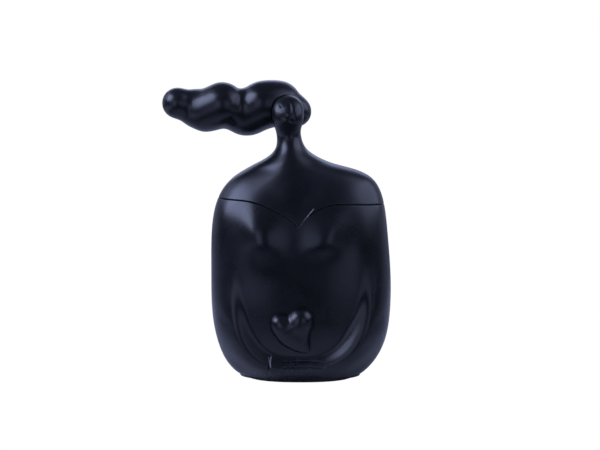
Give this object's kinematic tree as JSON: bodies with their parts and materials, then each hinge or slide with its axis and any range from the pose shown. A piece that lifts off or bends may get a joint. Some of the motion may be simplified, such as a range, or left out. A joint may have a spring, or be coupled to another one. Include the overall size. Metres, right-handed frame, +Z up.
{
  "type": "vinyl art figure",
  "caption": "Hollow vinyl art figure with a rounded torso, folded arms, a lift-off bust, swept cloud-like hair and a raised heart.",
  "frame": {"origin": "centre of the felt pad's underside, on the surface that the figure stands on", "axes": "+Z up; -Y is the figure's front, +X is to the right of someone who faces the figure"},
  "size_m": [0.1874, 0.0968, 0.2458],
  "materials": {
    "vinyl": "near-black satin vinyl",
    "heart_vinyl": "near-black vinyl, a little glossier",
    "plastic": "moulded black ABS",
    "steel": "zinc-plated",
    "felt": "black felt"
  },
  "bodies": {
    "torso": {"torso_shell": "vinyl", "heart": "heart_vinyl", "ballast_plate": "steel", "base_pad": "felt"},
    "bust": {"bust_shell": "vinyl", "locating_lip": "plastic", "head_socket": "plastic"},
    "hair": {"hair_shell": "vinyl", "hair_peg": "plastic"}
  },
  "joints": [
    {"name": "bust_lift", "type": "slide", "parent": "torso", "child": "bust", "axis": [0, 0, 1], "range_m": [0, 0.06]},
    {"name": "hair_pull", "type": "slide", "parent": "bust", "child": "hair", "axis": [0, 1, 0], "range_m": [0, 0.03]}
  ]
}
